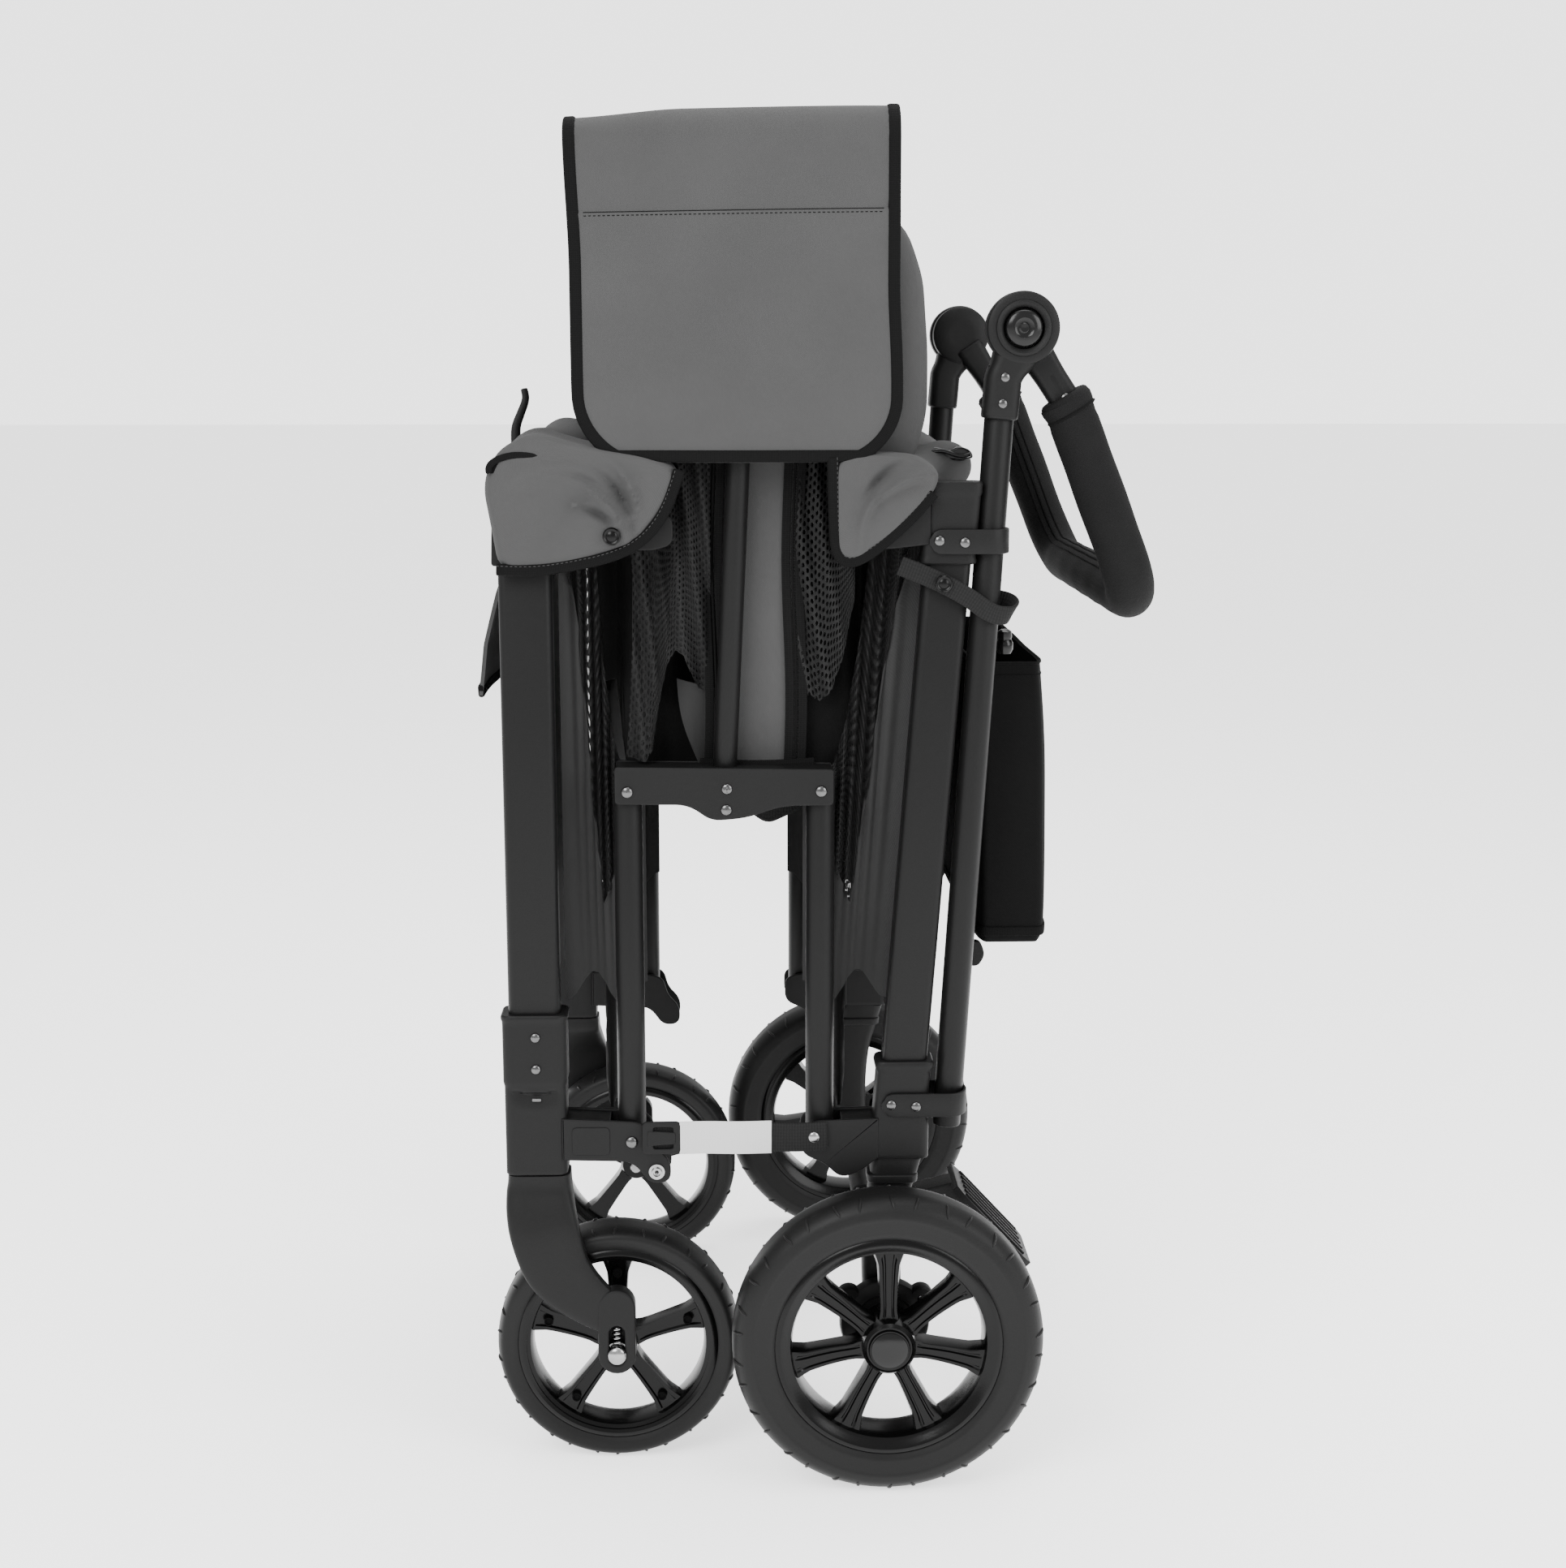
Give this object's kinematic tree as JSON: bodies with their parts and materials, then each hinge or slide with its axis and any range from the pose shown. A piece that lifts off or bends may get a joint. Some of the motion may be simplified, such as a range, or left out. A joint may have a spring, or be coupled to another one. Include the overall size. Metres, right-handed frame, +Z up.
{
  "type": "pet stroller",
  "caption": "Folding wagon-style pet stroller standing folded: grey fabric body with pleated side mesh, upright posts, fold-down foam handle, swivel front wheels and larger rear wheels.",
  "frame": {"origin": "centre of the whole object's box, at the floor that its four tyres stand on", "axes": "+Z up; -X towards the front, +X towards the handle; -Y is the stroller's left side, with the fold strap"},
  "size_m": [0.5169, 0.572, 1.0525],
  "materials": {
    "frame_paint": "fine-textured charcoal powder coat on thin-walled tube",
    "bracket_plastic": "matte black moulded nylon with a fine spark texture",
    "gloss_plastic": "glossy black moulded plastic",
    "tyre_rubber": "dark satin foam rubber with fine tread",
    "steel": "bright zinc-plated steel",
    "grey_fabric": "mid-grey woven twill with charcoal binding",
    "black_fabric": "black woven polyester",
    "mesh_fabric": "black open polyester mesh",
    "foam": "near-black closed-cell grip foam",
    "webbing": "black polyester webbing"
  },
  "bodies": {
    "rear_frame": {"rear_post_left": "frame_paint", "rear_post_right": "frame_paint", "rear_top_bracket_left": "bracket_plastic", "rear_top_bracket_right": "bracket_plastic", "rear_lower_bracket_left": "bracket_plastic", "rear_lower_bracket_right": "bracket_plastic", "handle_tube_left": "frame_paint", "handle_tube_right": "frame_paint", "handle_hinge_left": "bracket_plastic", "handle_hinge_right": "bracket_plastic", "rear_cross_tube": "frame_paint", "rear_axle": "steel", "rear_panel": "grey_fabric", "rear_pocket": "black_fabric"},
    "rear_link": {"rear_lower_link_left": "frame_paint", "rear_lower_link_right": "frame_paint", "link_cross_tube": "frame_paint", "rear_floor": "grey_fabric"},
    "centre_frame": {"centre_post_left": "frame_paint", "centre_post_right": "frame_paint", "centre_lower_bracket_left": "bracket_plastic", "centre_lower_bracket_right": "bracket_plastic", "side_flap_left": "grey_fabric", "side_flap_right": "grey_fabric", "side_mesh_left": "mesh_fabric", "side_mesh_right": "mesh_fabric", "roof_centre": "grey_fabric"},
    "front_link": {"front_lower_link_left": "frame_paint", "front_lower_link_right": "frame_paint", "front_floor": "grey_fabric"},
    "front_frame": {"front_post_left": "frame_paint", "front_post_right": "frame_paint", "front_sleeve_left": "bracket_plastic", "front_sleeve_right": "bracket_plastic", "front_cross_tube": "frame_paint", "front_panel": "grey_fabric"},
    "rear_rail": {"rear_upper_rail_left": "frame_paint", "rear_upper_rail_right": "frame_paint", "rear_roof": "grey_fabric"},
    "front_rail": {"front_upper_rail_left": "frame_paint", "front_upper_rail_right": "frame_paint", "front_roof": "grey_fabric"},
    "handle": {"handle_bar": "frame_paint", "handle_grip": "foam"},
    "brake": {"brake_pedal": "bracket_plastic"},
    "strap": {"fold_strap": "webbing"},
    "button_left": {"hinge_button_left": "gloss_plastic"},
    "caster_left": {"caster_fork_left": "bracket_plastic"},
    "suspension_left": {"front_axle_left": "steel"},
    "front_wheel_left": {"front_tyre_left": "tyre_rubber", "front_rim_left": "gloss_plastic"},
    "rear_wheel_left": {"rear_tyre_left": "tyre_rubber", "rear_rim_left": "gloss_plastic"},
    "button_right": {"hinge_button_right": "gloss_plastic"},
    "caster_right": {"caster_fork_right": "bracket_plastic"},
    "suspension_right": {"front_axle_right": "steel"},
    "front_wheel_right": {"front_tyre_right": "tyre_rubber", "front_rim_right": "gloss_plastic"},
    "rear_wheel_right": {"rear_tyre_right": "tyre_rubber", "rear_rim_right": "gloss_plastic"}
  },
  "joints": [
    {"name": "fold", "type": "hinge", "parent": "rear_frame", "child": "rear_link", "pos_m": [-0.0019, 0, 0.269], "axis": [0, -1, 0], "range_deg": [0, 90], "deforming": ["side_mesh_left", "side_mesh_right"]},
    {"name": "rear_link_to_centre", "type": "hinge", "parent": "rear_link", "child": "centre_frame", "pos_m": [-0.0019, 0, 0.547], "axis": [0, 1, 0], "range_deg": [0, 90]},
    {"name": "centre_to_front_link", "type": "hinge", "parent": "centre_frame", "child": "front_link", "pos_m": [-0.1489, 0, 0.547], "axis": [0, 1, 0], "range_deg": [0, 90]},
    {"name": "front_link_to_front_frame", "type": "hinge", "parent": "front_link", "child": "front_frame", "pos_m": [-0.1489, 0, 0.269], "axis": [0, -1, 0], "range_deg": [0, 90]},
    {"name": "rear_rail_pivot", "type": "hinge", "parent": "rear_frame", "child": "rear_rail", "pos_m": [0.0201, 0, 0.744], "axis": [0, -1, 0], "range_deg": [0, 90]},
    {"name": "front_rail_pivot", "type": "hinge", "parent": "centre_frame", "child": "front_rail", "pos_m": [-0.1269, 0, 1.022], "axis": [0, 1, 0], "range_deg": [0, 90]},
    {"name": "fold_strap_pivot", "type": "hinge", "parent": "rear_frame", "child": "strap", "pos_m": [-0.0019, -0.227, 0.269], "axis": [0, -1, 0], "range_deg": [0, 90]},
    {"name": "handle_fold", "type": "hinge", "parent": "rear_frame", "child": "handle", "pos_m": [0.14527, 0, 0.891], "axis": [0, -1, 0], "range_deg": [0, 150]},
    {"name": "brake_press", "type": "hinge", "parent": "rear_frame", "child": "brake", "pos_m": [0.0493, 0, 0.121], "axis": [0, 1, 0], "range_deg": [0, 20]},
    {"name": "handle_button_left", "type": "slide", "parent": "rear_frame", "child": "button_left", "axis": [0, 1, 0], "range_m": [0, 0.004], "stiffness_N_per_m": 500, "springref_m": -0.002},
    {"name": "caster_swivel_left", "type": "hinge", "parent": "front_frame", "child": "caster_left", "pos_m": [-0.2232, -0.21, 0.242], "axis": [0, 0, 1], "continuous": true},
    {"name": "front_suspension_left", "type": "slide", "parent": "caster_left", "child": "suspension_left", "axis": [0, 0, 1], "range_m": [0, 0.012], "stiffness_N_per_m": 6000, "springref_m": -0.008},
    {"name": "front_wheel_spin_left", "type": "hinge", "parent": "suspension_left", "child": "front_wheel_left", "pos_m": [-0.1622, -0.2, 0.0965], "axis": [0, 1, 0], "continuous": true},
    {"name": "rear_wheel_spin_left", "type": "hinge", "parent": "rear_frame", "child": "rear_wheel_left", "pos_m": [0.0493, -0.262, 0.121], "axis": [0, 1, 0], "continuous": true},
    {"name": "handle_button_right", "type": "slide", "parent": "rear_frame", "child": "button_right", "axis": [0, -1, 0], "range_m": [0, 0.004], "stiffness_N_per_m": 500, "springref_m": -0.002},
    {"name": "caster_swivel_right", "type": "hinge", "parent": "front_frame", "child": "caster_right", "pos_m": [-0.2232, 0.21, 0.242], "axis": [0, 0, 1], "continuous": true},
    {"name": "front_suspension_right", "type": "slide", "parent": "caster_right", "child": "suspension_right", "axis": [0, 0, 1], "range_m": [0, 0.012], "stiffness_N_per_m": 6000, "springref_m": -0.008},
    {"name": "front_wheel_spin_right", "type": "hinge", "parent": "suspension_right", "child": "front_wheel_right", "pos_m": [-0.1622, 0.2, 0.0965], "axis": [0, 1, 0], "continuous": true},
    {"name": "rear_wheel_spin_right", "type": "hinge", "parent": "rear_frame", "child": "rear_wheel_right", "pos_m": [0.0493, 0.262, 0.121], "axis": [0, 1, 0], "continuous": true}
  ],
  "couplings": [
    {"joint": "rear_link_to_centre", "follows": "fold", "ratio": 1},
    {"joint": "centre_to_front_link", "follows": "fold", "ratio": 1},
    {"joint": "front_link_to_front_frame", "follows": "fold", "ratio": 1},
    {"joint": "rear_rail_pivot", "follows": "fold", "ratio": 1},
    {"joint": "front_rail_pivot", "follows": "fold", "ratio": 1},
    {"joint": "fold_strap_pivot", "follows": "fold", "ratio": 1}
  ]
}
